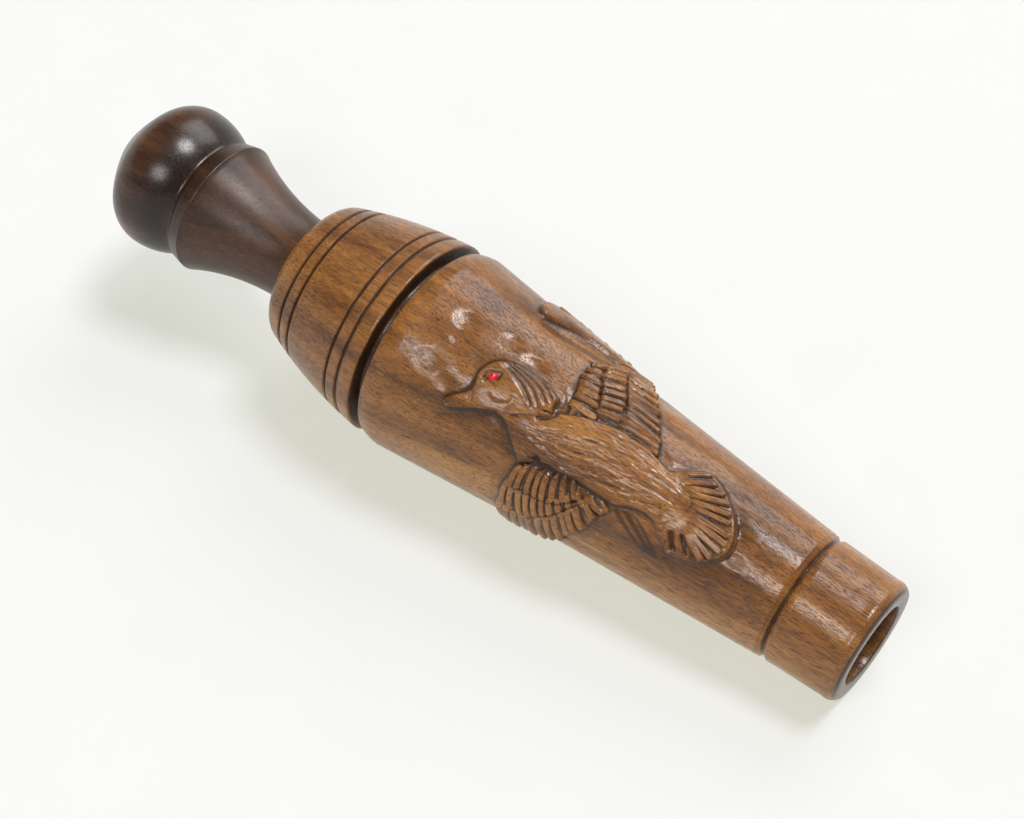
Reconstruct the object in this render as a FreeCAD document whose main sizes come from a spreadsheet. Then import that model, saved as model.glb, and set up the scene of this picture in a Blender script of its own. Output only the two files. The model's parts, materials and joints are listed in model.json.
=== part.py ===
"""Duck call: a turned and carved walnut barrel with a dark wood insert that carries the sounding parts.

Everything is drawn along the call's own axis. Stations are millimetres from the mouth face
towards the bulb, along local +X; radii are measured from that axis. One placement then lays
the finished call on its side, mouth towards row +X, so that the barrel's shoulder and the
mouth rim both touch the plane z = 0.
"""
import FreeCAD, Part
import math
import os
import sys

import Sketcher

Vector = FreeCAD.Vector
Placement = FreeCAD.Placement
Rotation = FreeCAD.Rotation

SHEET = "Sizes"
ORIGIN_GEOMETRY = -1
START, END = 1, 2
TURN = 360

# Driving dimensions in millimetres and degrees, by alias.
DIMENSIONS = [
    ("bore_radius", 7.9375, "5/8 inch bore through the barrel"),
    ("mouth_station", 0.0, "the mouth face, where stations start"),
    ("mouth_face_radius", 11.1, "flat annulus at the mouth"),
    ("mouth_rim_station", 2.5, "where the rounded mouth edge ends"),
    ("mouth_rim_radius", 12.0, ""),
    ("ferrule_station", 15.5, "end of the plain mouthpiece, past its ring"),
    ("ferrule_radius", 12.5, ""),
    ("swell_station", 68.0, "where the taper grows gentler, under the wings"),
    ("swell_radius", 18.1, ""),
    ("shoulder_station", 96.0, "fullest turn of the barrel"),
    ("shoulder_radius", 20.3, ""),
    ("lanyard_front_station", 99.3, "lanyard groove, wall nearer the mouth"),
    ("lanyard_front_radius", 19.5, ""),
    ("lanyard_rear_station", 101.5, "lanyard groove, wall nearer the collar"),
    ("lanyard_floor_radius", 16.5, ""),
    ("shoulder_arc", 8.0, "rounding between shoulder and lanyard groove"),
    ("collar_radius", 20.0, ""),
    ("collar_arc", 89.0, "long convex curve of the collar"),
    ("collar_turn_station", 124.0, ""),
    ("collar_turn_radius", 14.9, ""),
    ("collar_edge_arc", 5.0, ""),
    ("mouth_edge_arc", 3.2, ""),
    ("barrel_length", 127.0, "5 inches"),
    ("collar_face_radius", 11.8, ""),
    ("ring_depth", 0.65, "V cut of the turned rings"),
    ("ring_half_width", 0.4, ""),
    ("mouth_ring_station", 14.8, ""),
    ("mouth_ring_radius", 12.42, "surface radius at the ring"),
    ("collar_ring_a_station", 105.0, ""),
    ("collar_ring_a_radius", 19.55, ""),
    ("collar_ring_b_station", 107.8, ""),
    ("collar_ring_b_radius", 19.15, ""),
    ("collar_ring_c_station", 119.2, ""),
    ("collar_ring_c_radius", 16.55, ""),
    ("collar_ring_d_station", 121.9, ""),
    ("collar_ring_d_radius", 15.65, ""),
    ("tenon_radius", 7.87, "slides in the bore"),
    ("tenon_station", 104.0, "front end of the tenon"),
    ("seat_radius", 6.25, "seat of the tone board in the tenon"),
    ("seat_station", 116.0, "bottom of that seat"),
    ("exhaust_radius", 4.7625, "3/8 inch sound bore"),
    ("shoulder_gap", 0.05, "insert shoulder to collar face"),
    ("neck_radius", 8.45, ""),
    ("neck_end_station", 130.0, ""),
    ("flare_arc", 48.0, "concave sweep from neck to flare"),
    ("flare_station", 149.5, ""),
    ("flare_radius", 13.5, ""),
    ("band_station", 152.0, "narrow band behind the flare's rim"),
    ("band_radius", 13.0, ""),
    ("valley_station", 153.2, ""),
    ("valley_radius", 12.25, ""),
    ("bulb_front_arc", 14.87, ""),
    ("bulb_station", 161.6, "fullest turn of the bulb"),
    ("bulb_radius", 14.85, ""),
    ("bulb_back_arc", 7.2, ""),
    ("bulb_turn_station", 167.1, ""),
    ("bulb_turn_radius", 12.28, ""),
    ("bulb_end_arc", 35.0, ""),
    ("call_length", 171.2, ""),
    ("bulb_end_radius", 6.2, ""),
    ("oring_section_radius", 0.8, ""),
    ("oring_centre_radius", 7.09, ""),
    ("oring_front_station", 119.5, ""),
    ("oring_rear_station", 124.0, ""),
    ("oring_groove_radius", 6.25, ""),
    ("oring_groove_half_width", 0.9, ""),
    ("board_radius", 6.2, "half-round tone board turned to fit the seat"),
    ("board_tip_station", 60.0, ""),
    ("board_end_station", 115.9, ""),
    ("board_face_height", 1.0, "reed bed above the axis"),
    ("board_step_station", 111.0, "end of the reed bed"),
    ("bed_drop_angle", 1.8, "fall of the bed from the wedge to the tip, degrees"),
    ("bed_overlap", 2.0, "how far the sloped cut runs on into the flat one"),
    ("channel_width", 4.8, "air channel under the reeds"),
    ("channel_station", 64.0, ""),
    ("channel_floor_height", -2.4, ""),
    ("reed_thickness", 0.25, ""),
    ("reed_width", 10.6, ""),
    ("reed_end_station", 106.0, ""),
    ("reed_root_station", 94.0, "front edge of the wedge, where the reeds flex"),
    ("long_reed_tip_station", 61.0, ""),
    ("short_reed_tip_station", 66.0, ""),
    ("long_reed_height", 1.18, "underside above the axis"),
    ("short_reed_height", 1.53, ""),
    ("wedge_width", 9.6, ""),
    ("wedge_end_station", 110.5, ""),
    ("wedge_floor_height", 2.13, ""),
    ("wedge_front_height", 2.7, ""),
    ("wedge_rear_height", 3.7, ""),
    ("eye_radius", 0.95, ""),
    ("near_eye_station", 78.2, ""),
    ("near_eye_angle", 26.2, "from the top of the call, towards the side at -Y, degrees"),
    ("far_eye_station", 84.2, "the far bird flies a little nearer the collar"),
    ("far_eye_angle", 209.8, ""),
    ("eye_depth", 0.4, "bead centre below the turned surface"),
    ("eye_clearance", 0.02, ""),
    ("row_centre", 85.2, "station over the row's origin"),
]

BIRDS = ["near", "far"]
COLLAR_RINGS = ["collar_ring_a", "collar_ring_b", "collar_ring_c", "collar_ring_d"]

doc = FreeCAD.newDocument("DuckCall")
sizes = doc.addObject("Spreadsheet::Sheet", SHEET)
for row, (alias, value, note) in enumerate(DIMENSIONS, start=1):
    sizes.set(f"A{row}", alias)
    sizes.set(f"B{row}", str(value))
    sizes.setAlias(f"B{row}", alias)
    sizes.set(f"C{row}", note)
doc.recompute()


def size(alias):
    """The sheet's value for an alias."""
    return float(sizes.get(alias))


def resting_placement():
    """Lay the axis down, mouth towards +X, on the shoulder and the mouth rim."""
    rise = size("shoulder_radius") - size("mouth_rim_radius")
    run = size("shoulder_station") - size("mouth_rim_station")
    tilt = math.atan(rise / run)
    turn = Rotation(Vector(0, 1, 0), math.degrees(tilt)) * Rotation(Vector(0, 0, 1), 180)
    contact = Vector(size("mouth_rim_station"), 0, -size("mouth_rim_radius"))
    middle = Vector(size("row_centre"), 0, 0)
    lift = -turn.multVec(contact).z
    return Placement(Vector(-turn.multVec(middle).x, 0, lift), turn)


REST = resting_placement()
final_parts = []


def keep(feature, node):
    """Label a finished sub-part and list it for export."""
    feature.Label = node
    final_parts.append(feature)
    return feature


def origin_plane(body, role):
    """One of a body's own origin planes."""
    for feature in body.Origin.OriginFeatures:
        if feature.Role == role:
            return feature
    raise RuntimeError(f"{body.Name} has no {role}")


def new_body(name):
    return doc.addObject("PartDesign::Body", name)


def new_sketch(body, name):
    """A sketch on the XZ plane: its horizontal is the station, its vertical the radius."""
    sketch = body.newObject("Sketcher::SketchObject", name)
    sketch.AttachmentSupport = [(origin_plane(body, "XZ_Plane"), "")]
    sketch.MapMode = "FlatFace"
    return sketch


def bind(sketch, name, constraint, expression):
    """Add a named constraint and tie it to the sheet."""
    index = sketch.addConstraint(constraint)
    sketch.renameConstraint(index, name)
    sketch.setExpression(f"Constraints.{name}", expression)


def sheet_expression(term):
    """An expression for one alias, or for several joined by spaces, as in 'a - b'."""
    words = [w if w in "+-*/" else f"{SHEET}.{w}" for w in term.split()]
    return " ".join(words)


def term_value(term):
    """The number that such a term stands for."""
    total, sign = 0.0, 1.0
    for word in term.split():
        if word in "+-":
            sign = 1.0 if word == "+" else -1.0
        else:
            total += sign * size(word)
    return total


def arc_through(start, end, radius, bulge):
    """The short arc from start to end; bulge +1 swells away from the axis, -1 towards it."""
    chord = end - start
    middle = (start + end) * 0.5
    normal = Vector(-chord.y, chord.x, 0).normalize()
    if normal.y * bulge < 0:
        normal = -normal
    sagitta = radius - math.sqrt(radius ** 2 - (chord.Length / 2) ** 2)
    return Part.Arc(start, middle + normal * sagitta, end)


def draw_outline(sketch, corners):
    """Draw a closed outline.

    A corner is (station term, radius term) or (station term, radius term, arc alias, bulge),
    where the arc is the edge that leaves that corner.
    """
    points = [Vector(term_value(c[0]), term_value(c[1]), 0) for c in corners]
    count = len(corners)
    edges = []
    for i, corner in enumerate(corners):
        start, end = points[i], points[(i + 1) % count]
        if len(corner) == 4:
            curve = arc_through(start, end, size(corner[2]), corner[3])
        else:
            curve = Part.LineSegment(start, end)
        sketch.addGeometry(curve, False)
        to_first = sketch.getPoint(i, START).distanceToPoint(start)
        to_second = sketch.getPoint(i, END).distanceToPoint(start)
        forward = to_first < to_second
        edges.append((START, END) if forward else (END, START))
    for i in range(count):
        after = (i + 1) % count
        joint = Sketcher.Constraint("Coincident", i, edges[i][1], after, edges[after][0])
        sketch.addConstraint(joint)
    for i, corner in enumerate(corners):
        for kind, term, coordinate in (("DistanceX", corner[0], "x"), ("DistanceY", corner[1], "y")):
            place = Sketcher.Constraint(kind, ORIGIN_GEOMETRY, START, i, edges[i][0], term_value(term))
            bind(sketch, f"{coordinate}{i}", place, sheet_expression(term))
        if len(corner) == 4:
            radius = Sketcher.Constraint("Radius", i, size(corner[2]))
            bind(sketch, f"arc{i}", radius, sheet_expression(corner[2]))


def revolve(body, kind, name, corners):
    """A Revolution or Groove of an outline about the call's axis."""
    sketch = new_sketch(body, f"{name}_outline")
    draw_outline(sketch, corners)
    feature = body.newObject(f"PartDesign::{kind}", name)
    feature.Profile = sketch
    feature.ReferenceAxis = (sketch, ["H_Axis"])
    feature.Angle = TURN
    doc.recompute()
    return feature


def cut_ring(body, ring):
    """A V ring scored into the turned surface, on the body drawn so far."""
    before = body.Shape.Volume
    station, surface = f"{ring}_station", f"{ring}_radius"
    lip = f"{surface} + ring_depth"
    corners = [
        (station, f"{surface} - ring_depth"),
        (f"{station} + ring_half_width + ring_half_width", lip),
        (f"{station} - ring_half_width - ring_half_width", lip),
    ]
    revolve(body, "Groove", f"{ring}_cut", corners)
    if not body.Shape.Volume < before:
        sys.exit(f"{ring} cut nothing")


def primitive(kind, name, position, turn=Rotation(), **bindings):
    """A Part primitive placed in the call's axis frame, with its sizes bound to the sheet."""
    solid = doc.addObject(f"Part::{kind}", name)
    for property_name, expression in bindings.items():
        solid.setExpression(property_name, expression)
    solid.Placement = REST * Placement(position, turn)
    return solid


def cut(name, base, tool):
    result = doc.addObject("Part::Cut", name)
    result.Base = base
    result.Tool = tool
    return result


def fuse(name, solids):
    result = doc.addObject("Part::MultiFuse", name)
    result.Shapes = solids
    return result


def eye_centre(bird):
    """Centre of one bird's eye bead, a little under the barrel's turned surface."""
    station = size(f"{bird}_eye_station")
    share = (station - size("swell_station")) / (size("shoulder_station") - size("swell_station"))
    surface = size("swell_radius") + share * (size("shoulder_radius") - size("swell_radius"))
    radius = surface - size("eye_depth")
    angle = math.radians(size(f"{bird}_eye_angle"))
    return Vector(station, radius * math.sin(angle), radius * math.cos(angle))


def make_barrel():
    """The one-piece walnut barrel: mouthpiece, taper, lanyard groove and collar."""
    body = new_body("barrel_turning")
    revolve(body, "Revolution", "barrel_profile", [
        ("mouth_station", "bore_radius"),
        ("mouth_station", "mouth_face_radius", "mouth_edge_arc", 1),
        ("mouth_rim_station", "mouth_rim_radius"),
        ("ferrule_station", "ferrule_radius"),
        ("swell_station", "swell_radius"),
        ("shoulder_station", "shoulder_radius", "shoulder_arc", 1),
        ("lanyard_front_station", "lanyard_front_radius"),
        ("lanyard_front_station", "lanyard_floor_radius"),
        ("lanyard_rear_station", "lanyard_floor_radius"),
        ("lanyard_rear_station", "collar_radius", "collar_arc", 1),
        ("collar_turn_station", "collar_turn_radius", "collar_edge_arc", 1),
        ("barrel_length", "collar_face_radius"),
        ("barrel_length", "bore_radius"),
    ])
    for ring in ["mouth_ring"] + COLLAR_RINGS:
        cut_ring(body, ring)
    body.Placement = REST
    sockets = []
    for bird in BIRDS:
        reach = f"{SHEET}.eye_radius + {SHEET}.eye_clearance"
        sockets.append(primitive("Sphere", f"{bird}_socket", eye_centre(bird), Radius=reach))
    keep(cut("barrel_cut", body, fuse("eye_sockets", sockets)), "barrel")


def make_insert():
    """The dark insert: tenon with two ring grooves, neck, flare and bulb, bored through."""
    body = new_body("insert_body")
    neck_start = "barrel_length + shoulder_gap"
    revolve(body, "Revolution", "insert_profile", [
        ("tenon_station", "seat_radius"),
        ("tenon_station", "tenon_radius"),
        (neck_start, "tenon_radius"),
        (neck_start, "neck_radius"),
        ("neck_end_station", "neck_radius", "flare_arc", -1),
        ("flare_station", "flare_radius"),
        ("band_station", "band_radius"),
        ("valley_station", "valley_radius", "bulb_front_arc", 1),
        ("bulb_station", "bulb_radius", "bulb_back_arc", 1),
        ("bulb_turn_station", "bulb_turn_radius", "bulb_end_arc", 1),
        ("call_length", "bulb_end_radius"),
        ("call_length", "exhaust_radius"),
        ("seat_station", "exhaust_radius"),
        ("seat_station", "seat_radius"),
    ])
    for end in ("front", "rear"):
        before = body.Shape.Volume
        station = f"oring_{end}_station"
        low, high = f"{station} - oring_groove_half_width", f"{station} + oring_groove_half_width"
        rim = "tenon_radius + ring_depth"
        revolve(body, "Groove", f"oring_groove_{end}", [
            (low, "oring_groove_radius"),
            (low, rim),
            (high, rim),
            (high, "oring_groove_radius"),
        ])
        if not body.Shape.Volume < before:
            sys.exit(f"{station} groove cut nothing")
    body.Placement = REST
    keep(body, "insert")


def make_o_rings():
    """The rubber rings that grip the bore."""
    across = Rotation(Vector(0, 1, 0), 90)
    for end in ("front", "rear"):
        centre = Vector(size(f"oring_{end}_station"), 0, 0)
        ring = primitive(
            "Torus", f"oring_{end}", centre, across,
            Radius1=f"{SHEET}.oring_centre_radius",
            Radius2=f"{SHEET}.oring_section_radius",
        )
        keep(ring, f"o_ring_{end}")


def make_tone_board():
    """The half-round board that the reeds lie on, with its air channel."""
    across = Rotation(Vector(0, 1, 0), 90)
    tip, step = size("board_tip_station"), size("board_step_station")
    radius, face = size("board_radius"), size("board_face_height")
    dowel = primitive(
        "Cylinder", "board_dowel", Vector(tip, 0, 0), across,
        Radius=f"{SHEET}.board_radius",
        Height=f"{SHEET}.board_end_station - {SHEET}.board_tip_station",
    )
    clear = f"2 * {SHEET}.board_radius"
    bed = primitive(
        "Box", "board_bed", Vector(size("reed_root_station"), -radius, face),
        Length=f"{SHEET}.board_step_station - {SHEET}.reed_root_station",
        Width=clear, Height=f"{SHEET}.board_radius",
    )
    reach = step - tip
    slope = Rotation(Vector(0, 1, 0), -size("bed_drop_angle"))
    pivot = Vector(size("reed_root_station"), -radius, face)
    ramp = primitive(
        "Box", "board_ramp", pivot - slope.multVec(Vector(reach, 0, 0)), slope,
        Length=f"{SHEET}.board_step_station - {SHEET}.board_tip_station + {SHEET}.bed_overlap",
        Width=clear, Height=f"2 * {SHEET}.board_radius",
    )
    channel = primitive(
        "Box", "board_channel",
        Vector(size("channel_station"), -size("channel_width") / 2, size("channel_floor_height")),
        Length=f"{SHEET}.board_end_station - {SHEET}.channel_station",
        Width=f"{SHEET}.channel_width",
        Height=f"{SHEET}.board_radius - {SHEET}.channel_floor_height",
    )
    keep(cut("board_cut", dowel, fuse("board_tools", [bed, ramp, channel])), "tone_board")


def make_reeds():
    """The long and the short reed, one above the other."""
    half = size("reed_width") / 2
    for reed in ("long", "short"):
        tip = f"{reed}_reed_tip_station"
        corner = Vector(size(tip), -half, size(f"{reed}_reed_height"))
        blade = primitive(
            "Box", f"{reed}_reed", corner,
            Length=f"{SHEET}.reed_end_station - {SHEET}.{tip}",
            Width=f"{SHEET}.reed_width", Height=f"{SHEET}.reed_thickness",
        )
        keep(blade, f"reed_{reed}")


def make_wedge():
    """The cork wedge that holds the reeds' tails on the bed."""
    body = new_body("wedge_body")
    sketch = new_sketch(body, "wedge_outline")
    draw_outline(sketch, [
        ("reed_root_station", "wedge_floor_height"),
        ("reed_root_station", "wedge_front_height"),
        ("wedge_end_station", "wedge_rear_height"),
        ("wedge_end_station", "wedge_floor_height"),
    ])
    pad = body.newObject("PartDesign::Pad", "wedge_pad")
    pad.Profile = sketch
    pad.setExpression("Length", f"{SHEET}.wedge_width")
    pad.Midplane = True
    body.Placement = REST
    keep(body, "wedge")


def make_eyes():
    """A round bead for each bird's eye, let into the carving."""
    for bird in BIRDS:
        bead = primitive("Sphere", f"{bird}_bead", eye_centre(bird), Radius=f"{SHEET}.eye_radius")
        keep(bead, f"eye_bead_{bird}")


make_barrel()
make_insert()
make_o_rings()
make_tone_board()
make_reeds()
make_wedge()
make_eyes()
doc.recompute()

for item in doc.Objects:
    if "Invalid" in item.State or "Error" in item.State:
        sys.exit(f"{item.Label} failed: {item.State}")
for feature in final_parts:
    if feature.Shape.isNull() or not feature.Shape.isValid() or len(feature.Shape.Solids) != 1:
        sys.exit(f"{feature.Label} is not one valid solid")

os.makedirs("parts", exist_ok=True)
for feature in final_parts:
    feature.Shape.exportStep(f"parts/{feature.Label}.step")
    box = feature.Shape.BoundBox
    print(
        f"{feature.Label:14s} volume {feature.Shape.Volume:9.1f}  "
        f"x {box.XMin:7.2f} {box.XMax:7.2f}  y {box.YMin:6.2f} {box.YMax:6.2f}  "
        f"z {box.ZMin:6.2f} {box.ZMax:6.2f}"
    )
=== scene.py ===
"""A carved walnut duck call lying on a white table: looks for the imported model.

The call's own axis comes from the record: stations are millimetres from the mouth face towards
the bulb, radii are from that axis, and angles are degrees round it, from the top towards -Y.
"""
import json
import math

import bpy
import numpy as np
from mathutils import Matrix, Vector


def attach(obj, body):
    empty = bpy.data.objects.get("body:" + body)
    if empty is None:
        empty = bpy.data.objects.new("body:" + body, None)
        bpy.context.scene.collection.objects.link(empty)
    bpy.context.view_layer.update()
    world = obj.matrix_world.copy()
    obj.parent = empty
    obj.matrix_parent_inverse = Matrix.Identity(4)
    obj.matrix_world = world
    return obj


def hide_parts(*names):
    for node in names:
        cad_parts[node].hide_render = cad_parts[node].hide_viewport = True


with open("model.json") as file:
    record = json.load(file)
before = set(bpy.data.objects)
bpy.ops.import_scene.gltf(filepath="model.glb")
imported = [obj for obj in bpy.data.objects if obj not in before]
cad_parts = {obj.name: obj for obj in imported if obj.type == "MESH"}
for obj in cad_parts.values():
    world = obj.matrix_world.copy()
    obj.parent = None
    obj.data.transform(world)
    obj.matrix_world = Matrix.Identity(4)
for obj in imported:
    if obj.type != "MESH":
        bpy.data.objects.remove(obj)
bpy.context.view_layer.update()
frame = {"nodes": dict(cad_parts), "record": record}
record = frame["record"]

MM = 0.001

# ---------------------------------------------------------------------------------------------
# The call's axis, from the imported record
# ---------------------------------------------------------------------------------------------

JOINTS = {joint["name"]: joint for joint in record["behaviour"]["joints"]}
MOUNTS = {mount["name"]: mount for mount in record["mounts"]}
LANYARD_STATION = 100.4     # where the record's lanyard groove lies on the axis

AXIS = Vector(JOINTS["insert_pull"]["axis"]).normalized()
MOUTH = Vector(MOUNTS["lanyard_groove"]["pos_m"]) - AXIS * LANYARD_STATION * MM
SIDE = Vector((0, -1, 0))
TOP = AXIS.cross(SIDE).normalized()
if TOP.z < 0:
    TOP = -TOP
TILT = math.asin(AXIS.z)


# ---------------------------------------------------------------------------------------------
# Turned outlines
# ---------------------------------------------------------------------------------------------

BORE = 7.9375
TAPER = [(2.5, 12.0), (8.0, 12.2), (14.0, 12.4), (20.0, 12.9), (56.0, 15.8), (96.0, 20.3)]
SHOULDER = (96.0, 20.3)
SHOULDER_RIM = (99.2, 19.6)
GROOVE_WALLS = (99.45, 101.5)
GROOVE_FLOOR = 16.5
COLLAR = (101.7, 20.0)
COLLAR_TURN = (124.0, 14.9)
COLLAR_FACE = (127.0, 11.8)
COLLAR_RINGS = (105.0, 107.8, 119.2, 121.9)
MOUTH_RINGS = ((14.75, 0.85, 0.62), (15.75, 0.28, 0.3))
CARVED = (21.0, 95.5)
FINE = 0.2              # millimetres between stations over the carving
NEAR_TURNS = np.arange(-72.0, 126.0, 0.6)
FAR_TURNS = np.arange(126.0, 288.0, 0.9)
CARVED_TURNS = np.concatenate([NEAR_TURNS, FAR_TURNS])
PLAIN_TURNS = np.arange(0.0, 360.0, 1.5)


def arc(start, end, bend, count):
    """Points of the circular arc from start to end, start left out; bend > 0 swells outward."""
    (x0, y0), (x1, y1) = start, end
    chord = math.hypot(x1 - x0, y1 - y0)
    half = math.asin(min(1.0, chord / 2 / abs(bend)))
    normal = Vector((-(y1 - y0), x1 - x0)) / chord
    if (normal.y if abs(normal.y) > 1e-9 else normal.x) * bend < 0:
        normal = -normal
    middle = Vector(((x0 + x1) / 2, (y0 + y1) / 2))
    centre = middle - normal * abs(bend) * math.cos(half)
    along = Vector((x1 - x0, y1 - y0)) / chord
    points = []
    for i in range(1, count + 1):
        turn = -half + 2 * half * i / count
        spoke = normal * math.cos(turn) + along * math.sin(turn)
        points.append(tuple(centre + spoke * abs(bend)))
    return points


def vee(stations, centre, depth, half_width):
    """Depth of a scored ring with softened lips at each station."""
    reach = np.abs(np.asarray(stations) - centre) / half_width
    return depth * np.clip(1.15 - reach, 0, 1) ** 1.2


def spaced(low, high, step, fine_spots=(), fine_step=0.08, fine_reach=0.9):
    """Stations from low to high, closer together near the fine spots."""
    stations = [low]
    while stations[-1] < high - 1e-6:
        near = any(abs(stations[-1] - spot) < fine_reach for spot in fine_spots)
        stations.append(min(high, stations[-1] + (fine_step if near else step)))
    return stations


def smooth_taper(stations):
    """The barrel's turned radius, its corners eased by a short moving average."""
    knots, radii = zip(*TAPER)
    offsets = np.linspace(-3.0, 3.0, 13)
    ends = np.minimum(np.asarray(stations) - knots[0], knots[-1] - np.asarray(stations))
    reach = np.clip(ends / 3.0, 0, 1)
    return np.mean([np.interp(stations + o * reach, knots, radii) for o in offsets], axis=0)


def barrel_section():
    """(stations, radii, carved flags) round the barrel's closed half section."""
    path = [(0.4, BORE), (0.1, BORE + 0.12), (0.0, BORE + 0.45), (0.0, 9.5), (0.0, 11.1)]
    path += arc((0.0, 11.1), TAPER[0], 2.4, 8)
    rings = [ring[0] for ring in MOUTH_RINGS]
    plain = np.array(spaced(TAPER[0][0], CARVED[0], 0.7, rings)[1:-1])
    radii = smooth_taper(plain)
    for centre, depth, half_width in MOUTH_RINGS:
        radii = radii - vee(plain, centre, depth, half_width)
    path += list(zip(plain, radii))
    carved_from = len(path)
    carved = np.arange(CARVED[0], CARVED[1], FINE)
    path += list(zip(carved, smooth_taper(carved)))
    carved_to = len(path)
    path += [SHOULDER]
    path += arc(SHOULDER, SHOULDER_RIM, 9.0, 5)
    path += arc(SHOULDER_RIM, (GROOVE_WALLS[0], 19.3), 0.3, 3)
    path += [(GROOVE_WALLS[0], r) for r in (18.6, 17.8, 17.1)]
    path += arc((GROOVE_WALLS[0], 16.9), (GROOVE_WALLS[0] + 0.4, GROOVE_FLOOR), -0.4, 3)
    path += [(GROOVE_WALLS[1] - 0.4, GROOVE_FLOOR)]
    path += arc((GROOVE_WALLS[1] - 0.4, GROOVE_FLOOR), (GROOVE_WALLS[1], 16.9), -0.4, 3)
    path += [(GROOVE_WALLS[1], r) for r in (17.6, 18.4, 19.2, 19.75)]
    path += arc((GROOVE_WALLS[1], 19.75), COLLAR, 0.3, 3)
    collar = spaced(COLLAR[0], COLLAR_TURN[0], 0.6, COLLAR_RINGS)[1:-1]
    curve = [COLLAR] + arc(COLLAR, COLLAR_TURN, 89.0, 40)
    radii = np.interp(collar, *zip(*curve))
    for centre in COLLAR_RINGS:
        radii = radii - vee(collar, centre, 0.62, 0.42)
    path += list(zip(collar, radii)) + [COLLAR_TURN]
    path += arc(COLLAR_TURN, COLLAR_FACE, 4.2, 8)
    path += [(127.0, 10.5), (127.0, BORE + 0.4), (126.9, BORE + 0.1), (126.6, BORE)]
    path += [(float(s), BORE) for s in np.linspace(122.0, 2.0, 21)]
    stations, radii = (np.array(values, dtype=float) for values in zip(*path))
    return stations, radii, slice(carved_from, carved_to)


def insert_section():
    """(stations, radii) round the insert's closed half section."""
    tenon, seat, exhaust = 7.87, 6.25, 4.7625
    front, seat_end, shoulder = 104.0, 116.0, 127.05
    path = [(front + 0.3, seat), (front, seat + 0.3), (front, tenon - 0.4), (front + 0.4, tenon)]
    path += [(110.0, tenon), (115.0, tenon)]
    for station in (119.5, 124.0):
        path += [(station - 0.92, tenon), (station - 0.88, 6.29)]
        path += [(station + 0.88, 6.29), (station + 0.92, tenon)]
    path += [(shoulder, tenon), (shoulder, 8.3), (shoulder + 0.15, 8.45), (130.0, 8.45)]
    path += arc((130.0, 8.45), (149.15, 13.35), -48.0, 26)
    path += arc((149.15, 13.35), (149.75, 13.45), 0.45, 4)
    path += [(150.6, 13.3), (151.6, 13.05)]
    path += arc((151.6, 13.05), (152.25, 12.75), 0.9, 3)
    path += arc((152.25, 12.75), (153.5, 12.35), -0.75, 4)
    path += arc((153.5, 12.35), (161.6, 14.85), 14.4, 18)
    path += arc((161.6, 14.85), (167.1, 12.28), 7.2, 14)
    path += arc((167.1, 12.28), (170.6, 7.3), 35.0, 10)
    path += arc((170.6, 7.3), (171.2, 6.0), 2.0, 5)
    path += arc((171.2, 6.0), (170.4, exhaust), 0.9, 5)
    path += [(165.0, exhaust), (150.0, exhaust), (135.0, exhaust), (seat_end, exhaust)]
    path += [(seat_end, seat), (110.0, seat)]
    stations, radii = (np.array(values, dtype=float) for values in zip(*path))
    return stations, radii


def ring_mesh(name, stations, radii, degrees, attributes=None, sharp=40):
    """A closed mesh of revolution; radii is one per station, or one per station and column."""
    radii = np.asarray(radii)
    if radii.ndim == 1:
        radii = np.repeat(radii[:, None], len(degrees), axis=1)
    rows, columns = radii.shape
    turns = np.radians(degrees)
    axis, top, side, mouth = (np.array(v) for v in (AXIS, TOP, SIDE, MOUTH))
    spokes = np.cos(turns)[:, None] * top + np.sin(turns)[:, None] * side
    points = mouth + MM * (stations[:, None, None] * axis + radii[..., None] * spokes)
    here = np.arange(rows)[:, None] * columns + np.arange(columns)[None, :]
    ahead = np.roll(here, -1, axis=0)
    quads = np.stack([here, np.roll(here, -1, 1), np.roll(ahead, -1, 1), ahead], -1).reshape(-1, 4)
    mesh = bpy.data.meshes.new(name)
    mesh.vertices.add(rows * columns)
    mesh.vertices.foreach_set("co", points.reshape(-1))
    mesh.loops.add(quads.size)
    mesh.loops.foreach_set("vertex_index", quads.reshape(-1).astype(np.int32))
    mesh.polygons.add(len(quads))
    mesh.polygons.foreach_set("loop_start", np.arange(0, quads.size, 4, dtype=np.int32))
    mesh.update(calc_edges=True)
    mesh.validate()
    for key, values in (attributes or {}).items():
        layer = mesh.attributes.new(key, "FLOAT", "POINT")
        layer.data.foreach_set("value", values.reshape(-1).astype(np.float32))
    mesh.shade_smooth()
    mesh.set_sharp_from_angle(angle=math.radians(sharp))
    piece = bpy.data.objects.new(name, mesh)
    bpy.context.scene.collection.objects.link(piece)
    return piece


# ---------------------------------------------------------------------------------------------
# Relief carving
# ---------------------------------------------------------------------------------------------

DEGREE = 0.3            # millimetres of surface to a degree, near enough over the carved length


def curve_through(points, closed=False, per_span=6):
    """A smooth Catmull-Rom line through (station, degrees) points, in millimetres."""
    knots = np.array([(s, d * DEGREE) for s, d in points], dtype=float)
    if closed:
        knots = np.concatenate([knots[-1:], knots, knots[:2]])
    else:
        knots = np.concatenate([2 * knots[:1] - knots[1:2], knots, 2 * knots[-1:] - knots[-2:-1]])
    line = []
    for a, b, c, d in zip(knots, knots[1:], knots[2:], knots[3:]):
        for t in np.arange(per_span) / per_span:
            line.append(0.5 * (2 * b + (c - a) * t + (2 * a - 5 * b + 4 * c - d) * t ** 2
                               + (3 * b - a - 3 * c + d) * t ** 3))
    if not closed:
        line.append(knots[-2])
    return np.array(line)


def smoothstep(value):
    value = np.clip(value, 0, 1)
    return value * value * (3 - 2 * value)


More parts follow.
